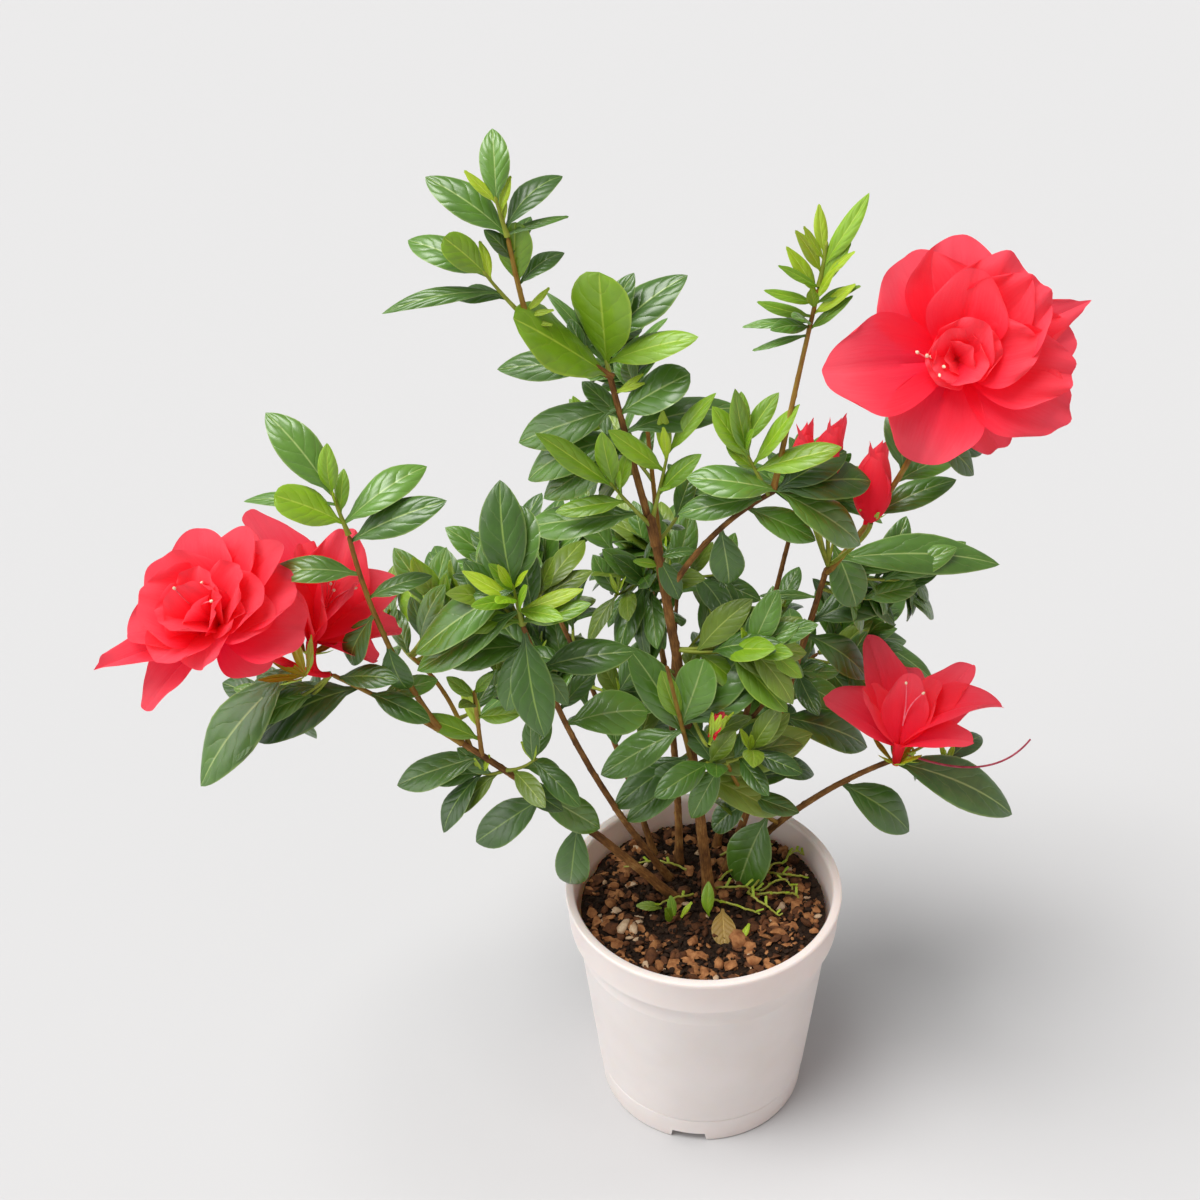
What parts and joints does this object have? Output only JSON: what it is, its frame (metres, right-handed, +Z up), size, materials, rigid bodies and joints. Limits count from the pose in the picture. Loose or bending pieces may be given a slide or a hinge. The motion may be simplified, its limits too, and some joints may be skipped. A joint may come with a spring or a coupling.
{
  "type": "azalea shrub in a nursery pot",
  "caption": "Young flowering azalea shrub with several leaning stems, leaf clusters and large double blooms, standing in a round white plastic nursery pot.",
  "frame": {"origin": "centre of the pot's flat underside", "axes": "+Z up; the shrub is broadest along X; the side shown foremost faces -Y"},
  "size_m": [0.3598, 0.1819, 0.4487],
  "materials": {
    "pot_plastic": "white moulded polypropylene, satin",
    "potting_mix": "moist bark potting mix",
    "bark": "thin brown bark",
    "leaf": "grown azalea leaf, satin",
    "young_leaf": "young azalea leaf, satin",
    "petal": "coral red petal, soft"
  },
  "bodies": {
    "root": {"pot": "pot_plastic", "soil": "potting_mix", "main_stem": "bark", "leader": "bark", "top_bough": "bark", "top_shoot": "bark", "right_bough": "bark", "spike": "bark", "right_stem": "bark", "bloom_stalk": "bark", "low_right_stem": "bark", "left_stem": "bark", "left_flower_stalk": "bark", "left_upright": "bark", "left_second": "bark", "mid_left_stem": "bark", "back_stem": "bark", "front_shoot": "bark", "low_left_shoot": "bark", "low_right_shoot": "bark", "back_left_stem": "bark", "back_right_stem": "bark", "back_bough": "bark", "back_low_bough": "bark", "back_leader": "bark", "top_leaves": "leaf", "upper_leaves": "young_leaf", "spike_leaves": "young_leaf", "large_bloom": "petal", "bloom_buds": "petal", "outer_bloom": "petal", "inner_bloom": "petal", "low_bloom": "petal", "upright_leaves": "leaf", "outer_leaves": "leaf", "left_middle_leaves": "leaf", "bright_leaves": "young_leaf", "low_left_leaves": "leaf", "front_leaves": "leaf", "right_middle_leaves": "leaf", "bough_leaves": "leaf", "right_leaves": "leaf", "low_right_leaves": "leaf", "middle_leaves": "leaf", "inner_leaves": "leaf", "back_top_leaves": "leaf", "back_left_leaves": "leaf", "back_right_leaves": "leaf", "back_middle_leaves": "leaf", "back_low_leaves": "leaf", "back_low_left_leaves": "leaf"}
  },
  "joints": []
}
